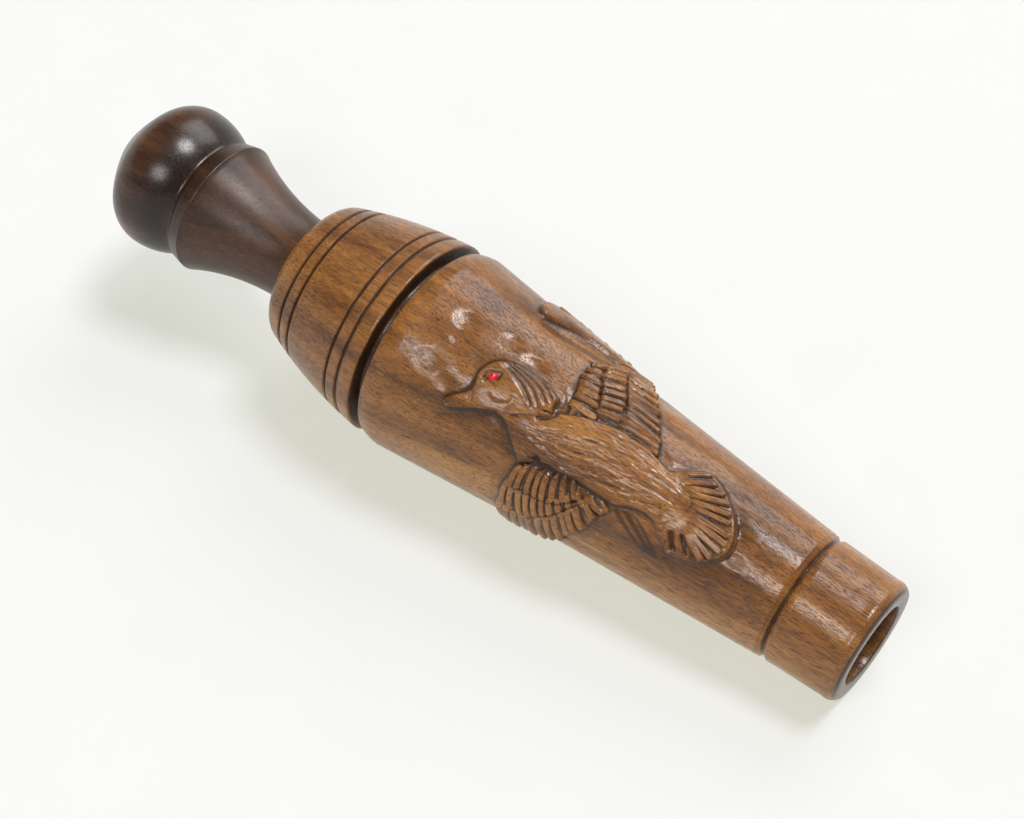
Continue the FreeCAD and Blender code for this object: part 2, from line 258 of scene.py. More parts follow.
class Carving:
    """A height map over stations and angles, raised by outlines and feathers, cut by lines."""

    def __init__(self, stations, degrees):
        self.u = stations
        self.v = degrees * DEGREE
        self.height = np.zeros((len(stations), len(degrees)))
        self.outside = np.full(self.height.shape, 99.0)
        # Painted shade: how much darker each point is painted, for the shade in cuts and hollows.
        self.painted_shade = np.zeros(self.height.shape)

    def window(self, line, margin):
        """Slices and coordinates of the part of the map near a line."""
        low, high = line.min(axis=0) - margin, line.max(axis=0) + margin
        rows = slice(*np.searchsorted(self.u, (low[0], high[0])))
        columns = slice(*np.searchsorted(self.v, (low[1], high[1])))
        u, v = np.meshgrid(self.u[rows], self.v[columns], indexing="ij")
        return (rows, columns), u, v

    @staticmethod
    def measure(line, u, v, closed=False):
        """Distance to a line, share of its length where it is nearest, and which side."""
        ends = np.roll(line, -1, axis=0) if closed else line[1:]
        starts = line if closed else line[:-1]
        lengths = np.hypot(*(ends - starts).T)
        before = np.concatenate([[0], np.cumsum(lengths)])
        best = np.full(u.shape, 1e9)
        share = np.zeros(u.shape)
        side = np.zeros(u.shape)
        for i, (a, b) in enumerate(zip(starts, ends)):
            d = b - a
            t = np.clip(((u - a[0]) * d[0] + (v - a[1]) * d[1]) / max(d @ d, 1e-9), 0, 1)
            gap = np.hypot(u - a[0] - t * d[0], v - a[1] - t * d[1])
            closer = gap < best
            best = np.where(closer, gap, best)
            share = np.where(closer, (before[i] + t * lengths[i]) / before[-1], share)
            cross = d[0] * (v - a[1]) - d[1] * (u - a[0])
            side = np.where(closer, np.sign(cross), side)
        return best, share, side

    @staticmethod
    def inside(line, u, v):
        """True inside a closed line, by counting crossings."""
        crossed = np.zeros(u.shape, dtype=bool)
        for a, b in zip(line, np.roll(line, -1, axis=0)):
            spans = (a[1] > v) != (b[1] > v)
            reach = a[0] + (v - a[1]) * (b[0] - a[0]) / (b[1] - a[1] if b[1] != a[1] else 1e-9)
            crossed ^= spans & (u < reach)
        return crossed

    def mound(self, outline, top, wall=0.55, crown=0.0, crown_width=3.0, moat=0.0, moat_width=0.4,
              fade=None):
        """Raise a closed shape; the trench round it comes and goes along its outline."""
        line = curve_through(outline, closed=True)
        cells, u, v = self.window(line, 4.0)
        gap, share, _ = self.measure(line, u, v, closed=True)
        within = self.inside(line, u, v)
        depth = np.where(within, gap, 0.0)
        beyond = np.where(within, 0.0, gap)
        lap = 2 * math.pi * share
        wander = 0.5 + 0.3 * np.sin(5 * lap + 1) + 0.2 * np.sin(13 * lap)
        height = self.height[cells]
        height = height - np.where(within, 0, wander * moat * np.exp(-(beyond / moat_width) ** 2))
        raised = top * smoothstep(depth / (wall * (0.7 + 0.6 * wander)))
        raised += crown * (1 - np.exp(-depth / crown_width))
        if fade:
            raised *= smoothstep((u - fade[0]) / (fade[1] - fade[0]))
        self.height[cells] = np.where(within, np.maximum(height, raised), height)
        self.outside[cells] = np.minimum(self.outside[cells], beyond)

    def stroke(self, points, depth, width, soft=0.0, taper=0.5, painted_shade=0.0):
        """A cut along a line; soft > 0 or < 0 slopes one side gently, like a feather's edge."""
        line = curve_through(points, per_span=4)
        reach = 3 * max(width, abs(soft))
        cells, u, v = self.window(line, reach)
        gap, share, side = self.measure(line, u, v)
        ends = np.clip(np.minimum(share, 1 - share) / (0.5 * taper + 1e-6), 0, 1) ** 0.5
        spread = np.full(u.shape, width)
        if soft:
            spread = np.where(side * soft > 0, abs(soft), width)
        cut = ends * np.exp(-(gap / spread) ** 2)
        self.height[cells] -= depth * cut
        # Painted shade: the cut is painted darker for the shade in it; a raised ridge clears it.
        self.painted_shade[cells] = np.maximum(self.painted_shade[cells] * (1 - (depth < 0) * cut), painted_shade * cut)

    def sink(self, outline, depth, wall, painted_shade):
        """Scoop out a closed shape and paint it darker, as painted shade."""
        line = curve_through(outline, closed=True)
        cells, u, v = self.window(line, 1.0)
        gap, _, _ = self.measure(line, u, v, closed=True)
        share = smoothstep(np.where(self.inside(line, u, v), gap, 0.0) / wall)
        self.height[cells] -= depth * share
        self.painted_shade[cells] = np.maximum(self.painted_shade[cells], painted_shade * share)

    def feather(self, root, tip, width, base, lift, sag=0.0):
        """One lobed feather, proud of the wing at its rounded tip, with a shaft line."""
        a = np.array((root[0], root[1] * DEGREE))
        b = np.array((tip[0], tip[1] * DEGREE))
        length = np.hypot(*(b - a))
        along = (b - a) / length
        across = np.array((-along[1], along[0]))
        cells, u, v = self.window(np.array([a, b]), width + abs(sag))
        s = ((u - a[0]) * along[0] + (v - a[1]) * along[1]) / length
        c = (u - a[0]) * across[0] + (v - a[1]) * across[1] - sag * 4 * s * (1 - s)
        blunt = min(0.5, 0.4 * width / length)
        past = np.clip((s - (1 - blunt)) / blunt, 0, 1)
        half = 0.5 * width * np.sqrt(np.clip(1 - past ** 2, 0, 1)) * np.clip(0.75 + s, 0, 1)
        edge = half - np.abs(c)
        on = (s > -0.05) & (s < 1) & (edge > 0)
        body = smoothstep((s + 0.05) / 0.3) * smoothstep(edge / (0.24 * width))
        rise = base + lift * (0.45 + 0.55 * np.clip(s, 0, 1)) * body
        rise += 0.06 * np.cos(2.5 * math.pi * c / width) - 0.09 * np.exp(-(c / 0.11) ** 2)
        self.height[cells] = np.where(on, np.maximum(self.height[cells], rise), self.height[cells])

    def feathers(self, roots, tips, count, width, base, lift, sag, draw):
        """A row of feathers between a line of roots and a line of tips, each a little different."""
        root_line, tip_line = (curve_through(points) / (1, DEGREE) for points in (roots, tips))
        for i in range(count):
            share = (i + draw.uniform(-0.18, 0.18)) / (count - 1)
            ends = []
            for line in (root_line, tip_line):
                at = np.clip(share, 0, 1) * (len(line) - 1)
                ends.append([np.interp(at, range(len(line)), line[:, k]) for k in (0, 1)])
            root, tip = ends
            stretch = draw.uniform(0.92, 1.06)
            tip = [r + (t - r) * stretch for r, t in zip(root, tip)]
            self.feather(root, tip, width * draw.uniform(0.85, 1.12), base,
                         lift * draw.uniform(0.8, 1.15), sag)


# The bird's shapes as (station, degrees) points, measured from the carving rather than constructed.
# They are measured from the carving rather than constructed: see "Two rules that are not fully met"
# in report.md before reusing them.
BODY = [
    (37, 24), (40, 13), (45, 9), (50, 6), (55, 7), (60, 12), (64, 19), (67, 24), (72, 26),
    (76, 29), (77.5, 36), (74.8, 41.3), (72.4, 43.4), (70.5, 49), (68.5, 55), (66.6, 60),
    (63.6, 55), (60, 52.5), (56, 50.5), (52, 51.5), (48.6, 51), (46, 47), (43.2, 44), (39.5, 43.5),
]
HEAD = [
    (66.4, 14), (68.4, 11.4), (70.8, 10.4), (74.2, 10.2), (76.8, 12.2), (78.8, 15.4), (80.1, 20.5),
    (80.9, 27), (80.5, 35), (81.0, 40), (82.6, 45), (83.9, 50.6), (82.8, 54), (80.4, 50.8),
    (77.4, 45.6), (74.8, 41.8), (71.8, 37.5), (69.4, 32.2), (67.5, 29.6), (67.4, 26.4), (65.8, 24),
    (66.3, 20),
]
UPPER_WING = [
    (47.2, 7), (47.8, 0), (49.5, -8), (51.4, -17), (53.1, -27), (55.2, -38), (56.8, -48),
    (58.4, -58), (61, -58), (62.4, -48), (63.4, -38), (64.6, -26), (65.6, -16), (66.3, -7),
    (65.2, 0), (64.5, 8), (63.8, 18), (63.4, 24), (60, 18), (54, 11),
]
LOWER_WING = [
    (48.6, 55), (49.6, 63), (50.6, 72), (52, 82), (53.8, 92), (55.4, 101), (57.4, 111),
    (59.4, 118), (63, 121), (66, 121), (68, 112), (68.6, 98), (68.0, 86), (67.4, 74), (66.4, 62),
    (63, 53), (58, 47), (53, 46),
]
TAIL = [
    (43, 9), (40.8, 3), (38.4, -5), (36.2, -5.5), (33, 0), (29.6, 11), (27.5, 25), (27.4, 37),
    (29.2, 48), (31.6, 55), (34.3, 58.5), (36.2, 58.5), (38.6, 54.5), (40, 48), (41.4, 44),
    (45, 40), (46, 22),
]
OVER_WING = [
    (80.6, -28), (77.4, -32), (74.4, -37), (71.2, -40.5), (68, -43), (64.6, -44.5), (62, -52),
    (61.6, -64), (63.4, -76), (67.6, -87), (72, -79), (76.6, -67), (80.8, -54), (82.6, -40),
]
# Rows of feathers: (line of roots, line of tips, how many, width, height of base, lift, sag).
UPPER_ROWS = [
    ([(63.4, -50), (61.9, -34), (58.9, -16), (56.8, -2), (56.4, 7)],
     [(58.2, -57), (55.0, -38), (51.2, -17), (48.0, 0), (47.0, 6.5)], 12, 1.62, 0.26, 0.80, 0.25),
    ([(65.4, -36), (64.4, -18), (62.4, -5), (60.6, 8)],
     [(61.8, -43), (60.4, -27.5), (57.6, -13), (55.4, 3)], 9, 1.75, 0.42, 0.66, 0.12),
    ([(66.9, -22), (66.6, -8), (65.4, 2), (64.6, 12)],
     [(63.9, -28), (62.3, -9.5), (60.9, -0.5), (58.9, 12)], 7, 1.7, 0.52, 0.66, 0.05),
]
LOWER_ROWS = [
    ([(67.6, 92), (64.0, 88), (60.4, 82), (57.2, 74), (54.8, 62), (52.8, 51)],
     [(67.6, 118), (64.4, 122), (59.2, 119.5), (54.6, 99), (51.6, 80), (49.0, 58)],
     13, 2.0, 0.3, 0.78, -0.5),
    ([(67.3, 74), (64.2, 70), (61.0, 69), (58.2, 66), (55.2, 54)],
     [(67.6, 95), (62.8, 97), (59.6, 89), (56.4, 80), (52.6, 62)], 10, 1.7, 0.42, 0.72, -0.35),
    ([(66.2, 61), (63.2, 55), (60.2, 52), (56.5, 48)],
     [(66.8, 77), (62.8, 78), (59.0, 74), (54.4, 60)], 8, 1.5, 0.52, 0.62, -0.2),
]
OVER_ROWS = [
    ([(79.6, -50), (75.2, -58), (70, -62), (65, -60)],
     [(81.2, -34), (77.0, -39), (72.0, -43.5), (64.8, -48)], 12, 1.6, 0.7, 0.3, 0.0),
    ([(77.6, -63), (74.0, -72), (69.6, -80), (65.4, -74)],
     [(80.6, -47), (76.0, -54), (70.6, -58.5), (64.4, -56)], 10, 1.7, 0.74, 0.42, 0.0),
]
TAIL_ROW = (
    [(41.6, 7), (39.8, 14.5), (38.2, 20), (36.4, 25.5), (36.0, 32), (36.2, 38), (38.6, 43)],
    [(37.8, -5), (33.4, 0.5), (30.0, 11), (28.0, 24), (27.8, 37), (30.2, 50), (36.2, 58.5)],
    13, 1.75, 0.34, 0.55, 0.0,
)
CREST = [
    [(78.6, 17.0), (75.2, 19.2), (72.2, 22.8), (69.6, 28.0)],
    [(78.2, 15.6), (74.6, 17.0), (71.2, 20.2), (68.4, 26.2)],
    [(77.4, 14.2), (73.8, 14.8), (70.2, 17.6), (67.4, 23.0)],
    [(76.2, 12.8), (72.6, 12.8), (69.2, 15.2), (66.8, 19.6)],
    [(74.4, 11.6), (71.0, 11.4), (68.2, 13.2), (66.4, 16.4)],
]
# Cuts as (line, depth, width, how much darker the cut is painted, as painted shade).
HOLLOWS = [
    ([(65.2, 20), (65.4, 11), (65.9, 3), (66.8, -4)], 0.9, 0.6, 1.3),
    ([(67.8, 31), (66.0, 27.5), (64.8, 22)], 0.6, 0.6, 0.8),
    ([(64.8, 49), (63.2, 54), (61.6, 52.6), (59.8, 54)], 0.9, 0.8, 1.3),
    ([(50.4, 57), (49.4, 68), (50.4, 82), (53, 97)], 0.5, 0.7, 0.5),
    ([(67.2, 62.5), (68.1, 69), (68.8, 78)], 0.5, 0.5, 0.8),
    ([(64.8, -26), (64.2, -18), (61.9, -5), (60.1, 6)], 0.4, 0.24, 1.2),
    ([(61.8, -38), (60.9, -30), (58.2, -16), (56.0, -3)], 0.4, 0.24, 1.2),
    ([(67.2, 76), (63.9, 75), (60.7, 74), (57.9, 72), (54.9, 63), (53.2, 56)], 0.3, 0.24, 0.9),
    ([(67.2, 94), (62.6, 95), (59.9, 88), (57.2, 79), (54.6, 66), (52.4, 58)], 0.3, 0.24, 0.9),
    ([(37.6, 43.5), (36.5, 50), (35.4, 55)], 0.7, 0.5, 1.5),
    ([(35.6, 41.5), (34.3, 47), (33.0, 52.5)], 0.6, 0.42, 1.5),
    ([(38.4, -6.5), (35.6, -6.8), (32.4, -0.5), (29.0, 10.5), (26.9, 25), (26.8, 38), (28.9, 49.5)],
     0.3, 0.3, 1.3),
    ([(39.2, 50), (37.6, 57), (35.0, 60.5), (31.4, 56.5)], 0.5, 0.5, 0.8),
    ([(75.0, 43), (72.6, 45), (70.7, 50.5), (68.7, 56.5), (67.0, 61)], 0.35, 0.55, 0.2),
]
POCKET = [
    (49.0, 50.5), (46.4, 48), (43.8, 48), (41.2, 52.5), (39.0, 59), (37.0, 66), (37.6, 70),
    (40.6, 69.5), (43.6, 66), (46.0, 61), (48.0, 55.5),
]
RIDGES = [
    ([(47.4, 50.5), (45.4, 54.5), (43.2, 59.5), (40.6, 65)], 0.8, 0.34),
    ([(44.8, 49.5), (42.8, 54), (40.8, 59), (39.2, 63.5)], 0.5, 0.24),
    ([(46.6, 57), (44.2, 62.5), (41.6, 67)], 0.45, 0.22),
]
# Gouge marks as (station, degrees, length, width, depth).
SCOOPS = [
    (88.2, 9, 2.2, 1.5, 0.34), (87.4, 19, 2.0, 1.4, 0.3), (89.6, 37, 2.6, 1.8, 0.34),
    (85.4, 43, 1.8, 1.4, 0.26), (79.8, 3, 2.0, 1.3, 0.24), (73.8, 6, 2.0, 1.2, 0.26),
    (83.4, 27, 1.6, 1.6, 0.2), (84.2, -8, 2.8, 1.8, 0.16), (91.4, -12, 2.4, 1.8, 0.2),
    (92.4, 24, 2.0, 1.6, 0.2), (86.6, 58, 2.6, 2.0, 0.18), (79.0, 56, 3.0, 2.4, 0.24),
    (74.0, 62, 2.8, 2.2, 0.26), (78.0, 74, 3.0, 2.4, 0.16), (27.0, 16, 1.6, 1.3, 0.26),
    (25.0, 37, 2.0, 1.5, 0.26), (24.6, 50, 2.0, 1.5, 0.22), (30.6, -6, 2.2, 1.4, 0.2),
    (44.4, -8, 3.4, 1.8, 0.24), (48.4, -26, 2.6, 2.0, 0.22), (38.0, -14, 3.0, 1.8, 0.16),
    (46.6, 76, 3.4, 2.2, 0.3), (40.0, 76, 3.4, 2.0, 0.2), (33.0, 68, 3.0, 2.0, 0.2),
    (50.6, 98, 3.0, 2.2, 0.24), (71.6, 92, 2.4, 2.0, 0.2), (72.4, 112, 2.6, 2.0, 0.2),
    (52.4, -46, 2.6, 2.2, 0.2), (68.6, -12, 2.4, 1.8, 0.2), (84.0, 90, 3.2, 2.4, 0.12),
]


def plumage(carving, draw):
    """Long shallow hair lines down the neck, breast and back, and a few bolder tract edges."""
    back = ((38, 44, 50, 56, 61, 65, 69, 73), (16, 12, 9, 10, 16, 23, 31, 34))
    belly = ((38, 44, 50, 56, 61, 65, 69, 73), (40, 42, 48, 48, 50, 55, 50, 42))
    for _ in range(170):
        start = draw.uniform(41, 69)
        length = draw.uniform(2.0, 8.0)
        lane = draw.uniform(0.03, 0.97)
        drift = draw.uniform(-0.09, 0.05)
        points = []
        for share in (0, 0.5, 1):
            station = max(38.0, start - length * share)
            across = np.clip(lane + drift * share, 0.02, 0.98)
            top, bottom = np.interp(station, *back), np.interp(station, *belly)
            points.append((station, top + (bottom - top) * across))
        carving.stroke(points, draw.uniform(0.03, 0.11), draw.uniform(0.13, 0.22), taper=0.8)
    for points, depth, soft in (
        ([(66.5, 36), (61, 37), (56, 32), (51, 26)], 0.24, 0.9),
        ([(64.5, 43), (59.5, 44), (54, 39), (49, 32)], 0.26, 0.9),
        ([(62.5, 28), (57, 25), (51, 20), (46, 18)], 0.2, 0.8),
        ([(60, 48), (55, 44), (50, 40), (46, 36)], 0.22, 0.8),
        ([(54, 14), (49, 12), (44, 13)], 0.22, 0.6),
        ([(49, 23), (44, 20), (40, 20)], 0.18, 0.6),
        ([(48, 30), (43, 28), (39, 27)], 0.18, 0.6),
        ([(46, 40), (42, 36), (38, 34)], 0.2, 0.6),
    ):
        carving.stroke(points, depth, 0.22, soft=soft, taper=0.7)


def carve_bird(stations, degrees, seed):
    """The relief of one flying bird, with its head, wings, tail, plumage and eye socket."""
    draw = np.random.default_rng(seed)
    carving = Carving(stations, degrees)
    carving.mound(UPPER_WING, 0.34, crown=0.10, wall=0.35, moat=0.3)
    for row in UPPER_ROWS:
        carving.feathers(*row, draw)
    for offset in (0, 3, 6):
        line = [(62, 11 + offset), (57, 5 + offset), (52, 2.5 + offset), (47.6, 4 + offset)]
        carving.stroke(line, 0.22, 0.2, soft=0.5, taper=0.6)
    carving.mound(LOWER_WING, 0.30, crown=0.10, wall=0.35, moat=0.2)
    for row in LOWER_ROWS:
        carving.feathers(*row, draw)
    carving.mound(TAIL, 0.34, crown=0.05, wall=0.3, moat=0.35, moat_width=0.35)
    carving.feathers(*TAIL_ROW, draw)
    carving.mound(BODY, 0.85, wall=0.9, crown=0.6, crown_width=3.5, moat=0.15, fade=(34, 48))
    # These cuts, the pocket, the crest strands, the cheek and the brow are also painted darker:
    # painted shade.
    for points, depth, width, painted_shade in HOLLOWS:
        carving.stroke(points, depth, width, taper=0.3, painted_shade=painted_shade)
    carving.sink(POCKET, 1.6, 0.8, 1.25)
    for points, lift, width in RIDGES:
        carving.stroke(points, -lift, width)
    plumage(carving, draw)
    carving.mound(HEAD, 0.98, wall=0.55, crown=0.30, crown_width=2.0, moat=0.3)
    for strand in CREST:
        carving.stroke(strand, 0.42, 0.2, soft=0.55, taper=0.3, painted_shade=1.0)
        middle = [(station - 0.1, angle + 1.5) for station, angle in strand[1:]]
        carving.stroke(middle, 0.14, 0.12, taper=0.6)
    cheek = [(77.8, 34), (76.4, 36.4), (74.6, 36), (73.0, 32.4), (73.2, 27)]
    socket = [(76.7, 24.2), (77.5, 25), (78.9, 27.6), (79.6, 30)]
    brow = [(76.3, 22.6), (77.4, 22.2), (78.9, 24.4), (79.8, 27.6)]
    bill_gape = [(79.6, 44.5), (81.4, 48.8), (83.2, 51.8)]
    bill_root = [(80.6, 36), (79.6, 40), (79.2, 44)]
    carving.stroke(cheek, 0.18, 0.4, soft=-1.0, painted_shade=0.25)
    carving.stroke(socket, 0.66, 0.8, taper=0.3)
    carving.stroke(brow, 0.16, 0.2, painted_shade=0.8)
    carving.stroke(bill_gape, 0.24, 0.2)
    carving.stroke(bill_root, 0.22, 0.3)
    return carving


def carve_over_wing(stations, degrees):
    """The far bird's near wing, folded over the top of the barrel."""
    draw = np.random.default_rng(21)
    carving = Carving(stations, degrees)
    carving.stroke([(79.5, -23), (76, -26.5), (72, -30), (68, -33), (64.6, -36)], 0.8, 1.7)
    carving.mound(OVER_WING, 0.8, wall=0.4, crown=0.3, crown_width=2.5)
    # Painted shade along the wing's lower edge: this cut is painted darker.
    carving.stroke([(81.4, -31), (77.6, -35), (74.6, -39.5), (71.2, -43), (68, -45.5), (64, -47)],
                   0.3, 0.35, painted_shade=1.5)
    for row in OVER_ROWS:
        carving.feathers(*row, draw)
    return carving


def blur(field, reach):
    """Gaussian blur with a radius given in grid cells; angles wrap round."""
    size = int(math.ceil(2.5 * reach))
    weights = np.exp(-0.5 * (np.arange(-size, size + 1) / reach) ** 2)
    weights /= weights.sum()
    padded = np.pad(field, ((size, size), (0, 0)), mode="edge")
    along = sum(w * padded[i:i + field.shape[0]] for i, w in enumerate(weights))
    return sum(w * np.roll(along, i - size, axis=1) for i, w in enumerate(weights))


FAR_SHIFT = 6.0         # the far bird flies this much nearer the collar
MEETING = -62.0         # degrees: the two birds mirror each other across this plane
BIRD_MIDDLE = 28.0      # degrees, in a bird's own angles
SQUEEZE_FROM = 52.0     # degrees: beyond this the far bird is squeezed clear of the table


def carve_barrel(stations):
    """(relief, painted shade) over the turned ground for every carved station and column."""
    turns = CARVED_TURNS
    height = np.zeros((len(stations), len(turns)))
    clearance = np.full(height.shape, 99.0)
    painted_shade = np.zeros(height.shape)
    scoops = np.zeros(height.shape)
    shapes = []
    near_bird = (stations, turns, 3, 0.0)
    far_bird = (stations - FAR_SHIFT, 2 * MEETING - turns, 8, 1.5)
    for along, angles, seed, squeeze in (near_bird, far_bird):
        local = (angles - BIRD_MIDDLE + 180) % 360 - 180 + BIRD_MIDDLE
        local = local + squeeze * np.clip(local - SQUEEZE_FROM, 0, None)
        order = np.argsort(local)
        shapes.append((carve_bird(along, local[order], seed), np.argsort(order)))
        for station, degrees, length, width, depth in SCOOPS:
            u = along[:, None] - station
            v = (local[None, :] - degrees) * DEGREE
            scoops += depth * np.exp(-((u / length) ** 2 + (v / width) ** 2) ** 1.5)
    shapes.append((carve_over_wing(stations, turns), np.arange(len(turns))))
    for carving, back in shapes:
        relief = carving.height[:, back]
        height = np.maximum(height, relief) + np.minimum(relief, 0)
        clearance = np.minimum(clearance, carving.outside[:, back])
        painted_shade = np.maximum(painted_shade, carving.painted_shade[:, back])
    ends = smoothstep((stations - CARVED[0]) / 6) * smoothstep((CARVED[1] - stations) / 3)
    away = smoothstep(clearance / 0.8)
    ground = -scoops * away - 0.18 * np.exp(-(clearance / 2.0) ** 2) * away
    # Painted shade: hollows below the blurred relief are painted darker, and so is the ground along
    # the foot of the bird's outline.
    near = blur(height, 2.4) - height
    wide = blur(height, 8.0) - height
    painted_shade = np.maximum(painted_shade, near / 0.15 + wide / 0.6)
    painted_shade = np.maximum(painted_shade, 0.42 * np.exp(-(clearance / 2.4) ** 2) * away)
    return (height + ground) * ends[:, None], painted_shade * ends[:, None]


def make_barrel():
    """The carved barrel, with how sunk each point lies kept as painted shade for its material."""
    stations, radii, carved = barrel_section()
    surface = np.repeat(radii[:, None], len(CARVED_TURNS), axis=1)
    relief, painted_shade = carve_barrel(stations[carved])
    surface[carved] += relief
    axis_height = (MOUTH.z + AXIS.z * stations * MM) / MM
    downward = np.maximum(-np.cos(np.radians(CARVED_TURNS)) * math.cos(TILT), 0.05)
    surface = np.minimum(surface, (axis_height[:, None] - 0.02) / downward)
    # Painted shade in the scored rings, the lanyard groove, the mouth face and the bore; a band
    # round the mouth rim is painted darker too.
    rings = [MOUTH_RINGS[0][0], *COLLAR_RINGS]
    scored = np.exp(-(np.min(np.abs(stations[:, None] - rings), axis=1) / 0.24) ** 2)
    groove = (stations > GROOVE_WALLS[0] - 0.05) & (stations < GROOVE_WALLS[1] + 0.05)
    outside, mouth_face, bore = radii > 11.2, (stations < 0.3) & (radii < 11.6), radii < 8.4
    shaded = outside * (2.4 * scored + 1.6 * (groove & (radii < 19.3))) + 1.4 * mouth_face
    shaded += 0.7 * outside * np.exp(-(stations / 0.9) ** 2)
    shaded = np.maximum(shaded, 0.6 * bore)
    sunk = np.repeat(shaded[:, None], len(CARVED_TURNS), axis=1)
    sunk[carved] = painted_shade
    barrel = ring_mesh("carved_barrel", stations, surface, CARVED_TURNS, {"sunk": sunk}, sharp=50)
    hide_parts("barrel")
    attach(barrel, "barrel")
    return barrel


def make_insert():
    """The turned insert: painted darker where it narrows behind the bulb, as painted shade, and
    less shiny on the flare.
    """
    stations, radii = insert_section()
    outside = radii > 8.3
    behind_bulb, flare = 155.8, 140.0
    # Painted shade behind the bulb, kept in the insert's sunk attribute.
    sunk = 0.8 * outside * np.exp(-((stations - behind_bulb) / 4.0) ** 2)
    satin = outside * np.exp(-((stations - flare) / 9.5) ** 4)
    looks = {
        name: np.repeat(values[:, None], len(PLAIN_TURNS), axis=1)
        for name, values in (("sunk", sunk), ("satin", satin))
    }
    insert = ring_mesh("turned_insert", stations, radii, PLAIN_TURNS, looks, sharp=38)
    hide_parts("insert")
    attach(insert, "insert")
    return insert


# ---------------------------------------------------------------------------------------------
# Materials
# ---------------------------------------------------------------------------------------------


class Nodes:
    """A short way to write a node material."""

    def __init__(self, name):
        self.material = bpy.data.materials.new(name)
        self.material.use_nodes = True
        self.tree = self.material.node_tree
        self.shader = self.tree.nodes["Principled BSDF"]
        coordinates = self.tree.nodes.new("ShaderNodeTexCoord")
        self.place = coordinates.outputs["Object"]

    def link(self, source, target):
        self.tree.links.new(source, target)

    def set(self, **values):
        for name, value in values.items():
            socket = self.shader.inputs[name.replace("_", " ")]
            socket.default_value = value

    def mapping(self, scale, turn=(0, 0, 0)):
        node = self.tree.nodes.new("ShaderNodeMapping")
        node.inputs["Rotation"].default_value = turn
        node.inputs["Scale"].default_value = scale
        self.link(self.place, node.inputs["Vector"])
        return node.outputs["Vector"]

    def noise(self, vector, detail=3.0, roughness=0.5, distortion=0.0):
        node = self.tree.nodes.new("ShaderNodeTexNoise")
        node.inputs["Scale"].default_value = 1.0
        node.inputs["Detail"].default_value = detail
        node.inputs["Roughness"].default_value = roughness
        node.inputs["Distortion"].default_value = distortion
        self.link(vector, node.inputs["Vector"])
        return node.outputs["Fac"]

    def ramp(self, source, stops):
        node = self.tree.nodes.new("ShaderNodeValToRGB")
        while len(node.color_ramp.elements) < len(stops):
            node.color_ramp.elements.new(0.5)
        for element, (at, colour) in zip(node.color_ramp.elements, stops):
            element.position = at
            element.color = (*colour, 1)
        self.link(source, node.inputs["Fac"])
        return node.outputs["Color"]

    def span(self, source, low, high, to_low=0.0, to_high=1.0):
        node = self.tree.nodes.new("ShaderNodeMapRange")
        names = ("From Min", "From Max", "To Min", "To Max")
        for name, value in zip(names, (low, high, to_low, to_high)):
            node.inputs[name].default_value = value
        self.link(source, node.inputs["Value"])
        return node.outputs["Result"]

    def maths(self, operation, first, second):
        node = self.tree.nodes.new("ShaderNodeMath")
        node.operation = operation
        for socket, value in zip(node.inputs, (first, second)):
            if isinstance(value, (int, float)):
                socket.default_value = value
            else:
                self.link(value, socket)
        return node.outputs["Value"]

    def mix(self, share, first, second):
        node = self.tree.nodes.new("ShaderNodeMix")
        node.data_type = "RGBA"
        for name, value in (("Factor_Float", share), ("A_Color", first), ("B_Color", second)):
            socket = next(s for s in node.inputs if s.identifier == name)
            if isinstance(value, (int, float)):
                socket.default_value = value
            elif isinstance(value, tuple):
                socket.default_value = (*value, 1)
            else:
                self.link(value, socket)
        return next(s for s in node.outputs if s.identifier == "Result_Color")

    def bump(self, height, distance, strength=1.0, coat=False):
        node = self.tree.nodes.new("ShaderNodeBump")
        node.inputs["Distance"].default_value = distance
        node.inputs["Strength"].default_value = strength
        self.link(height, node.inputs["Height"])
        self.link(node.outputs["Normal"], self.shader.inputs["Normal"])
        if coat:
            self.link(node.outputs["Normal"], self.shader.inputs["Coat Normal"])

    def attribute(self, name):
        node = self.tree.nodes.new("ShaderNodeAttribute")
        node.attribute_name = name
        return node.outputs["Fac"]


def grain(look, along, across, **values):
    """Noise stretched along the call; along and across are cycles to a metre."""
    return look.noise(look.mapping((along, across, across), (0, TILT, 0)), **values)


def wood(name, dark, middle, light, pore, pore_share, gloss):
    """Wood with its grain along the call: growth streaks, fine fibres and open pores."""
    look = Nodes(name)
    streaks = grain(look, 6, 170, detail=4, roughness=0.55, distortion=0.5)
    patches = grain(look, 22, 55, detail=3, roughness=0.6, distortion=0.6)
    fibres = grain(look, 45, 2600, detail=4, roughness=0.65)
    broad = look.maths("MULTIPLY", patches, 0.28)
    tone = look.maths("ADD", look.maths("MULTIPLY", streaks, 0.42), broad)
    tone = look.maths("ADD", tone, look.maths("MULTIPLY", fibres, 0.30))
    colour = look.ramp(tone, [(0.40, dark), (0.5, middle), (0.61, light)])
    pores = grain(look, 220, 6000, detail=2, roughness=0.5)
    open_pores = look.span(pores, pore_share, pore_share + 0.07)
    colour = look.mix(look.maths("MULTIPLY", open_pores, 0.7), colour, pore)
    rough = look.span(fibres, 0.3, 0.7, gloss - 0.06, gloss + 0.08)
    rough = look.maths("ADD", rough, look.maths("MULTIPLY", open_pores, 0.2))
    look.link(rough, look.shader.inputs["Roughness"])
    return look, colour, fibres, open_pores


